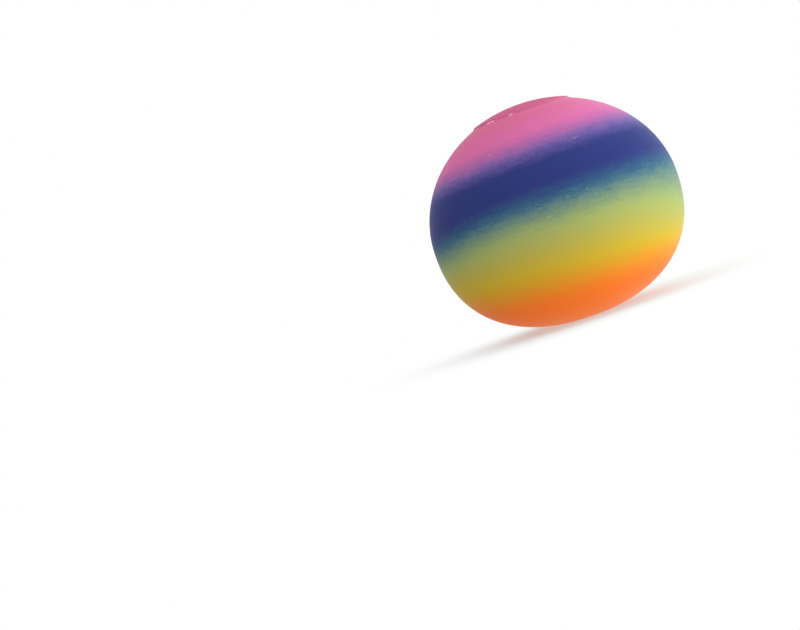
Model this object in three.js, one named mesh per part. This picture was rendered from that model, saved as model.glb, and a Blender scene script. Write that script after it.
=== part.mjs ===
// A dough-filled stress ball: a moulded rubber skin sprayed in rainbow bands, packed with
// soft dough through a hole at the top, and closed there by a plug cap on a film of glue.
// Millimetres, +Z up along the ball's axis, origin at the centre of the flat it rests on.
import * as THREE from 'three';

// Skin
const EQUATOR_RADIUS = 26.0; // half of the widest width
const EQUATOR_HEIGHT = 22.0; // rest flat up to the widest circle
const CROWN_RISE = 23.3; // widest circle up to the crown, as if it were not cut for the cap
const REST_RADIUS = 5.0; // flat that the ball stands on
const WALL = 2.0;
const CROWN_POWER = 2.0; // 2 is an ellipse, and more is squarer
const BASE_POWER = 2.3; // the belly is a little squarer than the crown

// Fill hole and the collar moulded round it
const HOLE_RADIUS = 4.0;
const COLLAR_THICKNESS = 3.0; // cap seat down to the collar's inner face

// Plug cap
const CAP_RADIUS = 10.2;
const CAP_RIM_THICKNESS = 0.4;
const CAP_CENTRE_THICKNESS = 2.05;
const CAP_EDGE_RADIUS = 0.25;
const LIP_OVERHANG = 0.8; // how far the plug's lip catches past the hole's wall
const LIP_THICKNESS = 0.6;
const NOSE_LENGTH = 1.2; // tapered lead-in below the lip
const NOSE_TAPER = 1.6; // how much narrower the nose's end is than the lip

// Glue film under the cap
const GLUE_THICKNESS = 0.2;
const GLUE_BEAD = 0.5; // squeezed out past the cap's edge
const GLUE_SETBACK = 1.0; // hole's wall to the film's inner edge

// Clearances
const PLUG_CLEARANCE = 0.3; // plug to hole and collar
const DOUGH_CLEARANCE = 0.3; // dough to skin and plug

// How finely the turned surfaces are cut: sectors round the axis, steps along each curve
const SECTORS = 40;
const SKIN_STEPS = 8;
const CAVITY_STEPS = 5;
const DOME_STEPS = 6;
const EDGE_STEPS = 3;

// Sprayed bands from bottom to top, each at its share of the skin's height
const SPRAY = [
  { share: 0.09, colour: new THREE.Color('#f5823f') },
  { share: 0.28, colour: new THREE.Color('#d8bc4c') },
  { share: 0.42, colour: new THREE.Color('#bcc765') },
  { share: 0.6, colour: new THREE.Color('#34468a') },
  { share: 0.72, colour: new THREE.Color('#343f86') },
  { share: 0.86, colour: new THREE.Color('#dc78ae') },
];
const BARE_RUBBER = new THREE.Color('#e9e4da');
const CAP_PINK = '#d9709f';
const GLUE_PINK = '#e3a3c0';
const DOUGH_CREAM = '#efe6d2';

// Half-axis of the belly's curve, which is cut by the rest flat at the rest radius
const BASE_DROP =
  EQUATOR_HEIGHT / (1 - (REST_RADIUS / EQUATOR_RADIUS) ** BASE_POWER) ** (1 / BASE_POWER);

// Points on a rounded side from one angle above the widest circle to another
function curve(halfWidth, halfHeight, power, fromAngle, toAngle, steps) {
  const points = [];
  for (let i = 0; i <= steps; i++) {
    const sine = Math.sin(THREE.MathUtils.lerp(fromAngle, toAngle, i / steps));
    const radius = halfWidth * (1 - Math.abs(sine) ** power) ** (1 / power);
    points.push(new THREE.Vector2(radius, EQUATOR_HEIGHT + halfHeight * sine));
  }
  return points;
}

// Points on the ball's side, a given depth inside its surface, from one height up to another
function side(inset, fromHeight, toHeight, steps) {
  const halfWidth = EQUATOR_RADIUS - inset;
  const drop = BASE_DROP - inset;
  const rise = CROWN_RISE - inset;
  const start = Math.asin((fromHeight - EQUATOR_HEIGHT) / drop);
  const end = Math.asin((toHeight - EQUATOR_HEIGHT) / rise);
  const belly = curve(halfWidth, drop, BASE_POWER, start, 0, steps);
  const crown = curve(halfWidth, rise, CROWN_POWER, 0, end, steps);
  return [...belly, ...crown.slice(1)];
}

// Height of the skin's crown at a radius
function crownHeight(radius) {
  const share = (radius / EQUATOR_RADIUS) ** CROWN_POWER;
  return EQUATOR_HEIGHT + CROWN_RISE * (1 - share) ** (1 / CROWN_POWER);
}

// The crown is cut flat for the cap, just wide enough for the cap and its bead of glue
const SEAT_RADIUS = CAP_RADIUS + GLUE_BEAD;
const SEAT_HEIGHT = crownHeight(SEAT_RADIUS);
const COLLAR_FACE = SEAT_HEIGHT - COLLAR_THICKNESS;
const CAP_UNDERSIDE = SEAT_HEIGHT + GLUE_THICKNESS;
const LIP_RADIUS = HOLE_RADIUS + LIP_OVERHANG;
const LIP_TOP = COLLAR_FACE - PLUG_CLEARANCE;
const LIP_BOTTOM = LIP_TOP - LIP_THICKNESS;
const NOSE_END = LIP_BOTTOM - NOSE_LENGTH;

// Points on a quarter round from its side to its top
function quarterRound(centreRadius, centreHeight, size) {
  const points = [];
  for (let i = 0; i <= EDGE_STEPS; i++) {
    const angle = (i / EDGE_STEPS) * (Math.PI / 2);
    const radius = centreRadius + size * Math.cos(angle);
    points.push(new THREE.Vector2(radius, centreHeight + size * Math.sin(angle)));
  }
  return points;
}

// Points on a shallow dome from just inside its edge to its top on the axis
function dome(edgeRadius, edgeHeight, topHeight) {
  const rise = topHeight - edgeHeight;
  const curveRadius = (edgeRadius ** 2 + rise ** 2) / (2 * rise);
  const points = [];
  for (let i = 1; i <= DOME_STEPS; i++) {
    const radius = edgeRadius * (1 - i / DOME_STEPS);
    const height = topHeight - curveRadius + Math.sqrt(curveRadius ** 2 - radius ** 2);
    points.push(new THREE.Vector2(radius, height));
  }
  return points;
}

// Turns an outline of radius and height, drawn anticlockwise, about the ball's axis
function turned(outline) {
  const geometry = new THREE.LatheGeometry(outline, SECTORS);
  geometry.rotateX(Math.PI / 2);
  return geometry;
}

function named(name, geometry, material) {
  const mesh = new THREE.Mesh(geometry, material);
  mesh.name = name;
  return mesh;
}

// Colour of the spray at a height, blended between the two bands beside it
function sprayColour(height) {
  const share = height / SEAT_HEIGHT;
  const above = SPRAY.findIndex((band) => band.share > share);
  if (above === 0) return SPRAY[0].colour;
  if (above < 0) return SPRAY[SPRAY.length - 1].colour;
  const low = SPRAY[above - 1];
  const high = SPRAY[above];
  const blend = (share - low.share) / (high.share - low.share);
  return low.colour.clone().lerp(high.colour, blend);
}

// Sprays the outer rows of a turned skin and leaves the rows inside it bare
function spray(geometry, rows, outerRows) {
  const position = geometry.getAttribute('position');
  const colours = [];
  for (let i = 0; i < position.count; i++) {
    const colour = i % rows < outerRows ? sprayColour(position.getZ(i)) : BARE_RUBBER;
    colours.push(colour.r, colour.g, colour.b);
  }
  geometry.setAttribute('color', new THREE.Float32BufferAttribute(colours, 3));
}

// Skin: outside from the rest flat to the cap seat, then the hole, collar and cavity
function skin() {
  const outside = [
    new THREE.Vector2(0, 0),
    ...side(0, 0, SEAT_HEIGHT, SKIN_STEPS),
  ];
  const hole = [
    new THREE.Vector2(HOLE_RADIUS, SEAT_HEIGHT),
    new THREE.Vector2(HOLE_RADIUS, COLLAR_FACE),
  ];
  const cavity = [
    ...side(WALL, WALL, COLLAR_FACE, CAVITY_STEPS).reverse(),
    new THREE.Vector2(0, WALL),
  ];
  const outline = [...outside, ...hole, ...cavity];
  const geometry = turned(outline);
  spray(geometry, outline.length, outside.length);
  const material = new THREE.MeshStandardMaterial({ vertexColors: true, roughness: 0.6 });
  return named('skin', geometry, material);
}

// Dough: fills the cavity, with a pocket pressed into it by the plug
function dough() {
  const floor = WALL + DOUGH_CLEARANCE;
  const top = COLLAR_FACE - DOUGH_CLEARANCE;
  const pocketRadius = LIP_RADIUS + DOUGH_CLEARANCE;
  const pocketFloor = NOSE_END - DOUGH_CLEARANCE;
  const outline = [
    new THREE.Vector2(0, floor),
    ...side(floor, floor, top, CAVITY_STEPS),
    new THREE.Vector2(pocketRadius, top),
    new THREE.Vector2(pocketRadius, pocketFloor),
    new THREE.Vector2(0, pocketFloor),
  ];
  const material = new THREE.MeshStandardMaterial({ color: DOUGH_CREAM, roughness: 0.85 });
  return named('dough', turned(outline), material);
}

// Cap: domed flange with a rounded edge, and a plug with a lip that catches under the collar
function cap() {
  const plugRadius = HOLE_RADIUS - PLUG_CLEARANCE;
  const rimTop = CAP_UNDERSIDE + CAP_RIM_THICKNESS;
  const edge = Math.min(CAP_EDGE_RADIUS, CAP_RIM_THICKNESS);
  const plug = [
    new THREE.Vector2(0, NOSE_END),
    new THREE.Vector2(LIP_RADIUS - NOSE_TAPER, NOSE_END),
    new THREE.Vector2(LIP_RADIUS, LIP_BOTTOM),
    new THREE.Vector2(LIP_RADIUS, LIP_TOP),
    new THREE.Vector2(plugRadius, LIP_TOP),
    new THREE.Vector2(plugRadius, CAP_UNDERSIDE),
  ];
  const flange = [
    new THREE.Vector2(CAP_RADIUS, CAP_UNDERSIDE),
    ...quarterRound(CAP_RADIUS - edge, rimTop - edge, edge),
    ...dome(CAP_RADIUS - edge, rimTop, CAP_UNDERSIDE + CAP_CENTRE_THICKNESS),
  ];
  const material = new THREE.MeshStandardMaterial({ color: CAP_PINK, roughness: 0.5 });
  return named('cap', turned([...plug, ...flange]), material);
}

// Glue ring: flat film between the seat and the cap, with a sloping bead past the cap's edge
function glueRing() {
  const innerRadius = HOLE_RADIUS + GLUE_SETBACK;
  const outline = [
    new THREE.Vector2(innerRadius, SEAT_HEIGHT),
    new THREE.Vector2(SEAT_RADIUS, SEAT_HEIGHT),
    new THREE.Vector2(CAP_RADIUS, CAP_UNDERSIDE),
    new THREE.Vector2(innerRadius, CAP_UNDERSIDE),
    new THREE.Vector2(innerRadius, SEAT_HEIGHT),
  ];
  const material = new THREE.MeshStandardMaterial({ color: GLUE_PINK, roughness: 0.2 });
  return named('glue_ring', turned(outline), material);
}

const ball = new THREE.Group();
ball.add(skin(), dough(), glueRing(), cap());

export default ball;
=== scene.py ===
# Looks of a dough-filled stress ball: its sprayed rubber skin, the dough inside, the plug cap and its glue
import math

import bmesh
import bpy
from mathutils import Matrix, Vector, noise


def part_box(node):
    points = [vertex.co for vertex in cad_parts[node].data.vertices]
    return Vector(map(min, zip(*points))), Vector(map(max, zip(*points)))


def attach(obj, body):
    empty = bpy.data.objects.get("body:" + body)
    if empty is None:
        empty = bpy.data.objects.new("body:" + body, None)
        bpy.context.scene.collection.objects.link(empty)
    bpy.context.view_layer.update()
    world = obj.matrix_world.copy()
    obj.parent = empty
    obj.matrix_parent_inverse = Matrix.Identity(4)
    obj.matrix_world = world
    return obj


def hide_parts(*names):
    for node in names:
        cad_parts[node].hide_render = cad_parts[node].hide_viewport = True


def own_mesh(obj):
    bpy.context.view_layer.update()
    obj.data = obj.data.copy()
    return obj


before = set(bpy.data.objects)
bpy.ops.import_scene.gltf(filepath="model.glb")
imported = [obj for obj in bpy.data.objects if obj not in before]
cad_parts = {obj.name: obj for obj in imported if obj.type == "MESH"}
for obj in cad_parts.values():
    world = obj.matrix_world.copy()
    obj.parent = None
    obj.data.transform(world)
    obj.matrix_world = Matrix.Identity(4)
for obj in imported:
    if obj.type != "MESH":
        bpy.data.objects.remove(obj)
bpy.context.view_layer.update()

MM = 0.001

# Sizes that the frame gives
EQUATOR_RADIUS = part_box("skin")[1].x
SEAT_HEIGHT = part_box("skin")[1].z
SEAT_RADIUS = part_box("glue_ring")[1].x
CAP_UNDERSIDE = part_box("glue_ring")[1].z
CAP_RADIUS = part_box("cap")[1].x
CAP_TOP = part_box("cap")[1].z
NOSE_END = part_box("cap")[0].z

# Sizes inside the nodes' boxes, as in the part's source
EQUATOR_HEIGHT = 22.0 * MM
CROWN_RISE = 23.3 * MM
REST_RADIUS = 5.0 * MM
WALL = 2.0 * MM
CROWN_POWER = 2.0
BASE_POWER = 2.3
HOLE_RADIUS = 4.0 * MM
COLLAR_THICKNESS = 3.0 * MM
CAP_RIM_THICKNESS = 0.4 * MM
CAP_EDGE_RADIUS = 0.25 * MM
LIP_OVERHANG = 0.8 * MM
LIP_THICKNESS = 0.6 * MM
NOSE_TAPER = 1.6 * MM
GLUE_SETBACK = 1.0 * MM
PLUG_CLEARANCE = 0.3 * MM
DOUGH_CLEARANCE = 0.3 * MM

# Sizes that follow from these
COLLAR_FACE = SEAT_HEIGHT - COLLAR_THICKNESS
LIP_RADIUS = HOLE_RADIUS + LIP_OVERHANG
LIP_TOP = COLLAR_FACE - PLUG_CLEARANCE
LIP_BOTTOM = LIP_TOP - LIP_THICKNESS
GLUE_INNER_RADIUS = HOLE_RADIUS + GLUE_SETBACK

# Half-axis of the belly's curve, which is cut by the rest flat at the rest radius
BASE_DROP = EQUATOR_HEIGHT / (1 - (REST_RADIUS / EQUATOR_RADIUS) ** BASE_POWER) ** (1 / BASE_POWER)

# How finely the turned surfaces are cut: sectors round the axis, steps along each curve
SECTORS = 192
SKIN_STEPS = 64
CAVITY_STEPS = 12
DOUGH_STEPS = 40
EDGE_STEPS = 6
DOME_STEPS = 24
BEAD_STEPS = 8
SHARP_ANGLE = math.radians(40)
MERGE_DISTANCE = 1e-7

# What each vertex keeps: where it lay at rest, so that the paint moves with it,
# and on the glue, how much of a drop there is, which places a painted highlight there
REST_POSITION = "rest_position"
DROP_SHARE = "drop_share"


# Shapes

def curve(half_width, half_height, power, from_angle, to_angle, steps):
    """Points on a rounded side from one angle above the widest circle to another."""
    points = []
    for i in range(steps + 1):
        sine = math.sin(from_angle + (to_angle - from_angle) * i / steps)
        radius = half_width * (1 - abs(sine) ** power) ** (1 / power)
        points.append((radius, EQUATOR_HEIGHT + half_height * sine))
    return points


def side(inset, from_height, to_height, steps):
    """Points on the ball's side, a given depth inside its surface, from one height up to another."""
    drop = BASE_DROP - inset
    rise = CROWN_RISE - inset
    start = math.asin((from_height - EQUATOR_HEIGHT) / drop)
    end = math.asin((to_height - EQUATOR_HEIGHT) / rise)
    belly = curve(EQUATOR_RADIUS - inset, drop, BASE_POWER, start, 0, steps)
    crown = curve(EQUATOR_RADIUS - inset, rise, CROWN_POWER, 0, end, steps)
    return belly + crown[1:]


def quarter_round(centre_radius, centre_height, size, steps):
    """Points on a quarter round from its side to its top."""
    points = []
    for i in range(steps + 1):
        angle = math.pi / 2 * i / steps
        points.append((centre_radius + size * math.cos(angle), centre_height + size * math.sin(angle)))
    return points


def dome(edge_radius, edge_height, top_height, steps):
    """Points on a shallow dome from just inside its edge to its top on the axis."""
    rise = top_height - edge_height
    curve_radius = (edge_radius ** 2 + rise ** 2) / (2 * rise)
    points = []
    for i in range(1, steps + 1):
        radius = edge_radius * (1 - i / steps)
        points.append((radius, top_height - curve_radius + math.sqrt(curve_radius ** 2 - radius ** 2)))
    return points


def turned(name, section, closed=False, bare_from=None):
    """Mesh of a section carried round the axis.

    section gives the (radius, height) points at an angle from the front.
    From the point bare_from on, the faces take the second material.
    """
    shape = bmesh.new()
    rings = []
    for i in range(SECTORS):
        angle = 2 * math.pi * i / SECTORS
        across = math.sin(angle)
        along = -math.cos(angle)
        rings.append([shape.verts.new((r * across, r * along, z)) for r, z in section(angle)])
    count = len(rings[0])
    for i in range(SECTORS):
        here = rings[i]
        there = rings[(i + 1) % SECTORS]
        for j in range(count if closed else count - 1):
            k = (j + 1) % count
            face = shape.faces.new((here[j], there[j], there[k], here[k]))
            face.smooth = True
            face.material_index = 1 if bare_from is not None and j >= bare_from else 0
    bmesh.ops.remove_doubles(shape, verts=shape.verts, dist=MERGE_DISTANCE)
    bmesh.ops.recalc_face_normals(shape, faces=shape.faces)
    mesh = bpy.data.meshes.new(name)
    shape.to_mesh(mesh)
    shape.free()
    mesh.set_sharp_from_angle(angle=SHARP_ANGLE)
    return mesh


def uneven(mesh, depth, wavelength):
    """Moves a mesh's vertices in and out by up to the given depth, in lumps of about the given length."""
    for vertex in mesh.vertices:
        vertex.co += vertex.normal * depth * noise.noise(vertex.co / wavelength)
    mesh.update()


def keep_rest_position(mesh):
    attribute = mesh.attributes.new(REST_POSITION, "FLOAT_VECTOR", "POINT")
    for vertex in mesh.vertices:
        attribute.data[vertex.index].vector = vertex.co


def piece(mesh, materials, body, node):
    """Object that stands for a node and moves with its body."""
    made = bpy.data.objects.new(mesh.name, mesh)
    bpy.context.scene.collection.objects.link(made)
    for material in materials:
        mesh.materials.append(material)
    keep_rest_position(mesh)
    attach(made, body)
    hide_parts(node)
    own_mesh(made)
    return made


# Shader nodes

# Range that noise seldom leaves
NOISE_LOW = 0.3
NOISE_HIGH = 0.7

# Where a droplet begins and where it is full, as shares of its cell, and the softness of a speck's edge
DROPLET_EDGE = 0.55
DROPLET_CORE = 0.3
SPECK_SOFTNESS = 0.2


def feed(tree, socket, value):
    """Links an input to another node's output, or sets it to a plain value."""
    if isinstance(value, bpy.types.NodeSocket):
        tree.links.new(value, socket)
    else:
        socket.default_value = value


def add(tree, kind, inputs=None, **settings):
    """Node with its settings, and its inputs by name or number."""
    made = tree.nodes.new(kind)
    for name, value in settings.items():
        setattr(made, name, value)
    for name, value in (inputs or {}).items():
        feed(tree, made.inputs[name], value)
    return made


def maths(tree, operation, *values):
    return add(tree, "ShaderNodeMath", dict(enumerate(values)), operation=operation).outputs[0]


def mix(tree, share, one, other):
    """Colour that goes from one to the other as the share goes from 0 to 1."""
    inputs = {"Factor": share, "A": one, "B": other}
    return add(tree, "ShaderNodeMix", inputs, data_type="RGBA").outputs["Result"]


def mix_shaders(tree, share, one, other):
    inputs = {"Fac": share, 1: one.outputs[0], 2: other.outputs[0]}
    return add(tree, "ShaderNodeMixShader", inputs).outputs[0]


def remap(tree, value, from_low, from_high, to_low, to_high, smooth=False):
    """Value carried from one range to another, and held at its ends."""
    inputs = {
        "Value": value,
        "From Min": from_low,
        "From Max": from_high,
        "To Min": to_low,
        "To Max": to_high,
    }
    kind = "SMOOTHSTEP" if smooth else "LINEAR"
    return add(tree, "ShaderNodeMapRange", inputs, interpolation_type=kind).outputs["Result"]


def split(tree, vector):
    """X, Y and Z of a vector."""
    return add(tree, "ShaderNodeSeparateXYZ", {"Vector": vector}).outputs


def grain(tree, where, size, detail=2.0):
    """Noise from 0 to 1 with lumps of about the given size."""
    inputs = {"Vector": where, "Scale": 1 / size, "Detail": detail}
    return add(tree, "ShaderNodeTexNoise", inputs).outputs["Fac"]


def swing(tree, where, size, amount, detail=2.0):
    """Noise from minus to plus the given amount."""
    return maths(tree, "MULTIPLY_ADD", grain(tree, where, size, detail), 2 * amount, -amount)


def drops(tree, where, size, amount):
    """Offset from minus to plus the given amount in round drops, most of them faint and a few strong."""
    cells = add(tree, "ShaderNodeTexVoronoi", {"Vector": where, "Scale": 1 / size}).outputs
    chance = add(tree, "ShaderNodeSeparateColor", {"Color": cells["Color"]}).outputs["Red"]
    strength = maths(tree, "POWER", maths(tree, "MULTIPLY_ADD", chance, 2, -1), 3)
    inside = remap(tree, cells["Distance"], DROPLET_EDGE, DROPLET_CORE, 0, amount, smooth=True)
    return maths(tree, "MULTIPLY", strength, inside)


def dust(tree, where, spacing, radius):
    """1 inside sparse round specks and 0 elsewhere."""
    cells = add(tree, "ShaderNodeTexVoronoi", {"Vector": where, "Scale": 1 / spacing}).outputs
    edge = radius / spacing * (1 + SPECK_SOFTNESS)
    core = radius / spacing * (1 - SPECK_SOFTNESS)
    return remap(tree, cells["Distance"], edge, core, 0, 1, smooth=True)


# Materials

def linear(colour):
    """Scene colour of a colour written as in a paint program, such as d86ea8."""
    shares = [int(colour[i:i + 2], 16) / 255 for i in (0, 2, 4)]
    return [s / 12.92 if s <= 0.04045 else ((s + 0.055) / 1.055) ** 2.4 for s in shares] + [1.0]


def new_material(name):
    """Material, its node tree, its shader and the socket with the rest position in metres."""
    material = bpy.data.materials.new(name)
    material.use_nodes = True
    tree = material.node_tree
    shader = tree.nodes["Principled BSDF"]
    rest = add(tree, "ShaderNodeAttribute", attribute_name=REST_POSITION).outputs["Vector"]
    return material, tree, shader, rest


def mottle(tree, where, dark, light, size, detail=2.0):
    """Colour between a dark and a light one, in lumps of about the given size."""
    return mix(tree, grain(tree, where, size, detail), linear(dark), linear(light))


def roughen(tree, shader, where, size, low, high):
    """Roughness between a low and a high one, in lumps of about the given size."""
    roughness = remap(tree, grain(tree, where, size), NOISE_LOW, NOISE_HIGH, low, high)
    feed(tree, shader.inputs["Roughness"], roughness)


def relief(tree, shader, where, size, depth, detail=2.0):
    """Fine bumps of about the given size and depth."""
    inputs = {"Height": grain(tree, where, size, detail), "Strength": 1.0, "Distance": depth}
    feed(tree, shader.inputs["Normal"], add(tree, "ShaderNodeBump", inputs).outputs["Normal"])


# Coats of spray over the orange, from the rest flat up: the paint, and the heights in millimetres
# where it begins to cover the coat below and where it covers it fully
ORANGE = "f97522"
COATS = (
    ("cdad2c", 4.3, 13.2),  # amber
    ("98a966", 10.5, 22.0),  # lime
    ("3a687e", 18.8, 25.8),  # teal
    ("2c3673", 23.0, 28.5),  # blue
    ("6c589a", 31.8, 36.0),  # lavender
    ("c86398", 34.0, 39.2),  # pink
    # The rose, darker towards the cap, is partly its own tone and partly painted shade
    ("c45c84", 38.5, 43.5),  # rose
)
DUST_WHITE = "e6e6ee"
DUST_COVER = 0.25

# Slope of the bands across the ball at a low height and at a high one
LOW_SLOPE = 0.042
LOW_SLOPE_HEIGHT = 9.5 * MM
HIGH_SLOPE = -0.047
HIGH_SLOPE_HEIGHT = 35 * MM

# How far the bands sag at the right edge, below one height and above another
SAG_BELOW = 3.2 * MM
SAG_ABOVE = 0.4 * MM
SAG_CHANGES = 15 * MM
SAG_CHANGED = 26 * MM

# How far the bands run down at the left edge about one height, and how far from there that fades out
RUN = 2.6 * MM
RUN_HEIGHT = 22 * MM
RUN_FADES = 3 * MM
RUN_ENDS = 9 * MM

# How far the bands fan towards the right edge: the low ones up and the high ones down
LOW_FAN = -2.6 * MM
LOW_FAN_FADES = 9 * MM
LOW_FAN_ENDS = 14 * MM
HIGH_FAN = 1.1 * MM
HIGH_FAN_BEGINS = 30 * MM
HIGH_FAN_FULL = 34 * MM

# How steeply these grow from the middle of the ball to its edge
EDGE_POWER = 3
FAN_POWER = 1.5

# How flat the streaks and the patches of droplets are, the strength of the thinnest patch,
# and the noise that makes the thinnest and the fullest
STREAK_FLATNESS = 4
THINNEST_PATCH = 0.25
PATCH_LOW = 0.35
PATCH_HIGH = 0.65


def towards_edge(tree, across, edge, power):
    """0 up to the middle of the ball, and from there to 1 at the edge on one side."""
    return maths(tree, "POWER", remap(tree, across, 0, edge, 0, 1), power)


def band_shifts(tree, across, height):
    """Shifts that slope the bands and move them at the edges, where a plus carries them down."""
    slope = remap(tree, height, LOW_SLOPE_HEIGHT, HIGH_SLOPE_HEIGHT, LOW_SLOPE, HIGH_SLOPE)
    sag = remap(tree, height, SAG_CHANGES, SAG_CHANGED, SAG_BELOW, SAG_ABOVE, smooth=True)
    off_run = maths(tree, "ABSOLUTE", maths(tree, "SUBTRACT", height, RUN_HEIGHT))
    run = remap(tree, off_run, RUN_FADES, RUN_ENDS, RUN, 0, smooth=True)
    low_fan = remap(tree, height, LOW_FAN_FADES, LOW_FAN_ENDS, LOW_FAN, 0, smooth=True)
    high_fan = remap(tree, height, HIGH_FAN_BEGINS, HIGH_FAN_FULL, 0, HIGH_FAN, smooth=True)
    fan = maths(tree, "ADD", low_fan, high_fan)
    return (
        maths(tree, "MULTIPLY", across, slope),
        maths(tree, "MULTIPLY", towards_edge(tree, across, EQUATOR_RADIUS, EDGE_POWER), sag),
        maths(tree, "MULTIPLY", towards_edge(tree, across, -EQUATOR_RADIUS, EDGE_POWER), run),
        maths(tree, "MULTIPLY", towards_edge(tree, across, EQUATOR_RADIUS, FAN_POWER), fan),
    )


def spray_shifts(tree, rest):
    """Shifts that let the bands wander slowly, run in streaks and end in mist and patches of droplets."""
    inputs = {"Vector": rest, "Scale": (1, 1, STREAK_FLATNESS)}
    flat = add(tree, "ShaderNodeMapping", inputs).outputs["Vector"]
    patches = remap(tree, grain(tree, flat, size=7.0 * MM), PATCH_LOW, PATCH_HIGH, THINNEST_PATCH, 1)
    droplets = drops(tree, rest, size=0.4 * MM, amount=1.1 * MM)
    return (
        swing(tree, rest, size=24 * MM, amount=0.6 * MM, detail=1.0),
        swing(tree, flat, size=3.0 * MM, amount=0.8 * MM),
        swing(tree, rest, size=0.34 * MM, amount=0.6 * MM),
        maths(tree, "MULTIPLY", droplets, patches),
    )


def sprayed_height(tree, rest):
    """Height that the spray is read at."""
    place = split(tree, rest)
    height = place["Z"]
    for shift in band_shifts(tree, place["X"], place["Z"]) + spray_shifts(tree, rest):
        height = maths(tree, "ADD", height, shift)
    return height


def sprayed_rubber():
    material, tree, shader, rest = new_material("sprayed_rubber")
    height = sprayed_height(tree, rest)
    colour = linear(ORANGE)
    for paint, begins, covers in COATS:
        cover = remap(tree, height, begins * MM, covers * MM, 0, 1, smooth=True)
        colour = mix(tree, cover, colour, linear(paint))
    specks = maths(tree, "MULTIPLY", dust(tree, rest, spacing=4.0 * MM, radius=0.13 * MM), DUST_COVER)
    feed(tree, shader.inputs["Base Color"], mix(tree, specks, colour, linear(DUST_WHITE)))
    roughen(tree, shader, rest, size=1.2 * MM, low=0.7, high=0.8)
    relief(tree, shader, rest, size=0.3 * MM, depth=0.015 * MM)
    shader.inputs["Specular IOR Level"].default_value = 0.03
    shader.inputs["Sheen Weight"].default_value = 0.15
    shader.inputs["Sheen Roughness"].default_value = 0.4
    return material


def bare_rubber():
    material, tree, shader, rest = new_material("bare_rubber")
    colour = mottle(tree, rest, dark="e4dfd3", light="efebe2", size=2.5 * MM)
    feed(tree, shader.inputs["Base Color"], colour)
    roughen(tree, shader, rest, size=0.8 * MM, low=0.45, high=0.6)
    relief(tree, shader, rest, size=0.5 * MM, depth=0.02 * MM)
    return material


def soft_dough():
    material, tree, shader, rest = new_material("soft_dough")
    colour = mottle(tree, rest, dark="e6d9bd", light="f5eedd", size=3.0 * MM, detail=4.0)
    feed(tree, shader.inputs["Base Color"], colour)
    roughen(tree, shader, rest, size=0.7 * MM, low=0.75, high=0.9)
    relief(tree, shader, rest, size=0.8 * MM, depth=0.08 * MM, detail=4.0)
    return material


# Colour of the cap's rim, and the height where it has given way to the darker top, which is partly painted
# shade
CAP_RIM_PINK = "c8648e"
CAP_RIM_FADES = CAP_UNDERSIDE + 1.5 * CAP_RIM_THICKNESS


def cap_paint():
    """Pink on the rim, and a deeper pink on the top that is partly its own tone and partly painted shade."""
    material, tree, shader, rest = new_material("cap_paint")
    above_rim = remap(tree, split(tree, rest)["Z"], CAP_UNDERSIDE, CAP_RIM_FADES, 0, 1, smooth=True)
    # Darker top: partly the cap's own deeper pink, partly painted shade
    top = mottle(tree, rest, dark="b24670", light="be527c", size=0.9 * MM)
    feed(tree, shader.inputs["Base Color"], mix(tree, above_rim, linear(CAP_RIM_PINK), top))
    roughen(tree, shader, rest, size=0.8 * MM, low=0.48, high=0.6)
    relief(tree, shader, rest, size=0.3 * MM, depth=0.015 * MM)
    shader.inputs["Specular IOR Level"].default_value = 0.08
    return material


# Paler pink on the drops of glue: a painted highlight
GLUE_GLINT_PINK = "e69cba"


def clear_glue():
    """Thin glue in the pink of the paint under it, with a painted highlight in paler pink where it stands in
    drops.
    """
    material, tree, shader, rest = new_material("clear_glue")
    glint_share = add(tree, "ShaderNodeAttribute", attribute_name=DROP_SHARE).outputs["Fac"]
    film = mottle(tree, rest, dark="b85680", light="c2628c", size=0.8 * MM)
    feed(tree, shader.inputs["Base Color"], mix(tree, glint_share, film, linear(GLUE_GLINT_PINK)))
    roughen(tree, shader, rest, size=0.6 * MM, low=0.25, high=0.4)
    relief(tree, shader, rest, size=0.5 * MM, depth=0.03 * MM)
    shader.inputs["Specular IOR Level"].default_value = 0.2
    return material


# Pieces

def skin():
    outside = [(0, 0)] + side(0, 0, SEAT_HEIGHT, SKIN_STEPS)
    hole = [(HOLE_RADIUS, SEAT_HEIGHT), (HOLE_RADIUS, COLLAR_FACE)]
    cavity = side(WALL, WALL, COLLAR_FACE, CAVITY_STEPS)[::-1] + [(0, WALL)]
    section = outside + hole + cavity
    mesh = turned("ball_skin", lambda angle: section, bare_from=len(outside))
    made = piece(mesh, [sprayed_rubber(), bare_rubber()], "ball", "skin")


def dough():
    base = WALL + DOUGH_CLEARANCE
    top = COLLAR_FACE - DOUGH_CLEARANCE
    pocket_radius = LIP_RADIUS + DOUGH_CLEARANCE
    pocket_floor = NOSE_END - DOUGH_CLEARANCE
    section = [(0, base)] + side(base, base, top, DOUGH_STEPS)
    section += [(pocket_radius, top), (pocket_radius, pocket_floor), (0, pocket_floor)]
    mesh = turned("dough_filling", lambda angle: section)
    uneven(mesh, depth=0.2 * MM, wavelength=5.0 * MM)
    piece(mesh, [soft_dough()], "ball", "dough")


def cap():
    plug_radius = HOLE_RADIUS - PLUG_CLEARANCE
    rim_top = CAP_UNDERSIDE + CAP_RIM_THICKNESS
    edge = CAP_EDGE_RADIUS
    nose = [(0, NOSE_END), (LIP_RADIUS - NOSE_TAPER, NOSE_END)]
    lip = [(LIP_RADIUS, LIP_BOTTOM), (LIP_RADIUS, LIP_TOP)]
    plug = [(plug_radius, LIP_TOP), (plug_radius, CAP_UNDERSIDE)]
    flange = [(CAP_RADIUS, CAP_UNDERSIDE)]
    flange += quarter_round(CAP_RADIUS - edge, rim_top - edge, edge, EDGE_STEPS)
    flange += dome(CAP_RADIUS - edge, rim_top, CAP_TOP, DOME_STEPS)
    section = nose + lip + plug + flange
    mesh = turned("plug_cap", lambda angle: section)
    piece(mesh, [cap_paint()], "cap", "cap")


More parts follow.
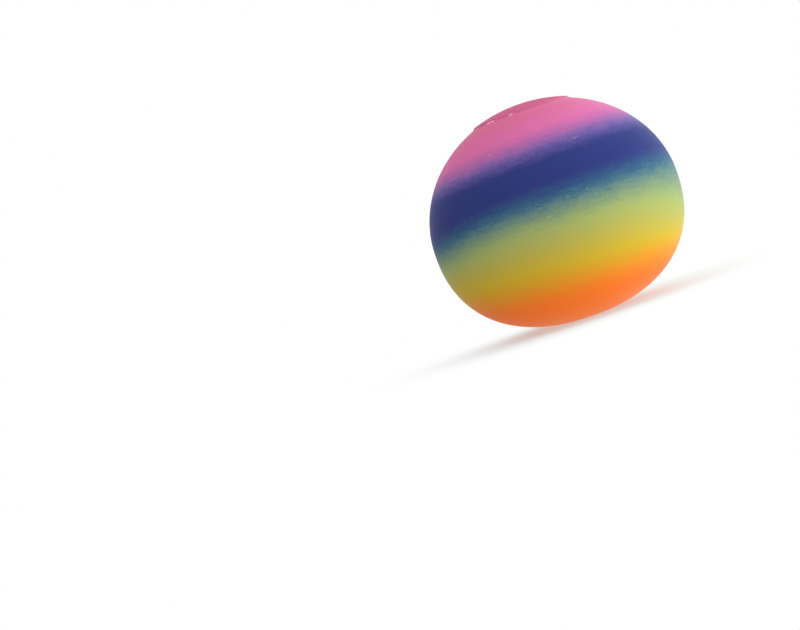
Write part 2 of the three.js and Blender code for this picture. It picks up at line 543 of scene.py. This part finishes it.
# Drops of glue squeezed out past the cap: degrees round from the front, half width in degrees
GLUE_DROPS = ((-40, 3.0), (-34, 2.0), (-11, 2.0))

# Bead of glue: the share of the ledge that it covers, and how far it climbs the cap's edge,
# each with what a swell and a drop add, and how often it swells
BEAD_REACH = 0.65
SWELL_REACH = 0.2
DROP_REACH = 0.15
BEAD_CLIMB = CAP_UNDERSIDE - SEAT_HEIGHT
SWELL_CLIMB = 0.16 * MM
DROP_CLIMB = 0.12 * MM
SWELL_RATE = 4.0


def drop_share(angle):
    """How much of a drop there is at an angle, from 0 to 1."""
    share = 0
    for place, half_width in GLUE_DROPS:
        off = math.remainder(angle - math.radians(place), 2 * math.pi)
        share += math.exp(-(off / math.radians(half_width)) ** 2)
    return min(share, 1)


def glue_section(angle):
    """Film under the cap and the bead past its edge, which is thicker at the drops."""
    turn = Vector((math.sin(angle), math.cos(angle), 0))
    swell = 0.5 + 0.5 * noise.noise(turn * SWELL_RATE)
    drop = drop_share(angle)
    reach = (SEAT_RADIUS - CAP_RADIUS) * (BEAD_REACH + SWELL_REACH * swell + DROP_REACH * drop)
    climb = BEAD_CLIMB + SWELL_CLIMB * swell + DROP_CLIMB * drop
    bead = []
    for i in range(BEAD_STEPS + 1):
        slope = math.pi / 2 * i / BEAD_STEPS
        bead.append((CAP_RADIUS + reach * math.cos(slope), SEAT_HEIGHT + climb * math.sin(slope)))
    film = [(GLUE_INNER_RADIUS, SEAT_HEIGHT)]
    return film + bead + [(CAP_RADIUS, CAP_UNDERSIDE), (GLUE_INNER_RADIUS, CAP_UNDERSIDE)]


def keep_drop_share(mesh):
    attribute = mesh.attributes.new(DROP_SHARE, "FLOAT", "POINT")
    for vertex in mesh.vertices:
        attribute.data[vertex.index].value = drop_share(math.atan2(vertex.co.x, -vertex.co.y))


def glue():
    mesh = turned("glue_bead", glue_section, closed=True)
    keep_drop_share(mesh)
    piece(mesh, [clear_glue()], "cap", "glue_ring")


# Studio

WHITE = (1, 1, 1, 1)

# Light from the far left and the far right of the room
LEFT_LIGHT = 0.28
RIGHT_LIGHT = 1.66

# Floor: cool under the ball, where light off the orange warms it, and lost in white further out
FLOOR_HALF_WIDTH = 2.0
FLOOR_COOL = (0.66, 0.83, 0.89, 1)
FLOOR_PALE = (0.92, 0.92, 0.92, 1)
COOL_FADES = 15 * MM
COOL_ENDS = 45 * MM
WHITE_AT_BALL = 0.4
WHITE_GROWS = 10 * MM
WHITE_FULL = 60 * MM


def seen_directly(tree):
    """1 for camera, glossy and transmission rays, and 0 for the rest."""
    path = add(tree, "ShaderNodeLightPath").outputs
    glass = maths(tree, "MAXIMUM", path["Is Glossy Ray"], path["Is Transmission Ray"])
    return maths(tree, "MAXIMUM", path["Is Camera Ray"], glass)


def studio_world():
    """White backdrop, in a room whose light grows from the left to the right."""
    world = bpy.data.worlds.new("studio")
    world.use_nodes = True
    bpy.context.scene.world = world
    tree = world.node_tree
    where = add(tree, "ShaderNodeTexCoord").outputs["Generated"]
    strength = remap(tree, split(tree, where)["X"], -1, 1, LEFT_LIGHT, RIGHT_LIGHT)
    room = tree.nodes["Background"]
    feed(tree, room.inputs["Color"], WHITE)
    feed(tree, room.inputs["Strength"], strength)
    backdrop = add(tree, "ShaderNodeBackground", {"Color": WHITE, "Strength": 1.0})
    both = mix_shaders(tree, seen_directly(tree), room, backdrop)
    feed(tree, tree.nodes["World Output"].inputs["Surface"], both)


def floor_white():
    """Pale floor with the ball's shadow, which fades into the white of the backdrop further out."""
    material = bpy.data.materials.new("floor_white")
    material.use_nodes = True
    tree = material.node_tree
    tree.nodes.remove(tree.nodes["Principled BSDF"])
    where = add(tree, "ShaderNodeTexCoord").outputs["Object"]
    distance = add(tree, "ShaderNodeVectorMath", {0: where}, operation="LENGTH").outputs["Value"]
    away = remap(tree, distance, COOL_FADES, COOL_ENDS, 0, 1, smooth=True)
    matt = add(tree, "ShaderNodeBsdfDiffuse", {"Color": mix(tree, away, FLOOR_COOL, FLOOR_PALE)})
    white = add(tree, "ShaderNodeEmission", {"Color": WHITE, "Strength": 1.0})
    whiteness = remap(tree, distance, WHITE_GROWS, WHITE_FULL, WHITE_AT_BALL, 1, smooth=True)
    both = mix_shaders(tree, maths(tree, "MULTIPLY", whiteness, seen_directly(tree)), matt, white)
    feed(tree, tree.nodes["Material Output"].inputs["Surface"], both)
    return material


def floor():
    mesh = bpy.data.meshes.new("floor")
    half = FLOOR_HALF_WIDTH
    corners = [(-half, -half, 0), (half, -half, 0), (half, half, 0), (-half, half, 0)]
    mesh.from_pydata(corners, [], [(0, 1, 2, 3)])
    mesh.materials.append(floor_white())
    made = bpy.data.objects.new("floor", mesh)
    made.visible_diffuse = False
    bpy.context.scene.collection.objects.link(made)


# Point that the lamps and the camera are set about
BALL_CENTRE = Vector((0, 0, 22.06 * MM))
LAMP_DISTANCE = 0.6


def softbox(name, from_front, above, width, height, power, colour):
    """Area lamp that faces the ball, so many degrees to the right of the front and above the floor."""
    lamp = bpy.data.lights.new(name, "AREA")
    lamp.shape = "RECTANGLE"
    lamp.size = width
    lamp.size_y = height
    lamp.energy = power
    lamp.color = colour
    made = bpy.data.objects.new(name, lamp)
    turn = math.radians(from_front)
    lift = math.radians(above)
    towards = Vector((math.sin(turn) * math.cos(lift), -math.cos(turn) * math.cos(lift), math.sin(lift)))
    made.location = BALL_CENTRE + towards * LAMP_DISTANCE
    made.rotation_euler = towards.to_track_quat("Z", "Y").to_euler()
    bpy.context.scene.collection.objects.link(made)


# Camera: where the ball's centre lies in the picture, its scale there, and how far its axis leans
PICTURE_SIZE = (800, 630)
PICTURE_CENTRE = (554.9, 213.2)
PIXELS_PER_METRE = 4853
CAMERA_DISTANCE = 0.35
AXIS_LEAN = math.radians(19)
SENSOR_WIDTH = 36


def camera():
    """Camera level with the ball's centre, rolled, and turned aside to set the ball off the middle."""
    focal_pixels = PIXELS_PER_METRE * CAMERA_DISTANCE
    lens = bpy.data.cameras.new("camera")
    lens.sensor_width = SENSOR_WIDTH
    lens.lens = SENSOR_WIDTH * focal_pixels / PICTURE_SIZE[0]
    made = bpy.data.objects.new("camera", lens)
    back = Vector((0, -1, 0))
    across = (PICTURE_CENTRE[0] - PICTURE_SIZE[0] / 2) / focal_pixels
    up = (PICTURE_SIZE[1] / 2 - PICTURE_CENTRE[1]) / focal_pixels
    aside = Vector((0, 0, -1)).rotation_difference(Vector((across, up, -1)))
    towards_ball = (-back).to_track_quat("-Z", "Y")
    lean = Matrix.Rotation(-AXIS_LEAN, 3, "Z").to_quaternion()
    made.rotation_mode = "QUATERNION"
    made.rotation_quaternion = towards_ball @ lean @ aside.inverted()
    made.location = BALL_CENTRE + back * CAMERA_DISTANCE
    bpy.context.scene.collection.objects.link(made)
    bpy.context.scene.camera = made


skin()
dough()
cap()
glue()
studio_world()
floor()
softbox("key", from_front=85, above=0, width=0.45, height=0.3, power=2.0, colour=(0.7, 1.0, 1.0))
softbox("fill", from_front=-60, above=55, width=0.4, height=0.4, power=1.0, colour=(1.0, 1.0, 1.0))
camera()
bpy.context.scene.view_settings.view_transform = "Standard"
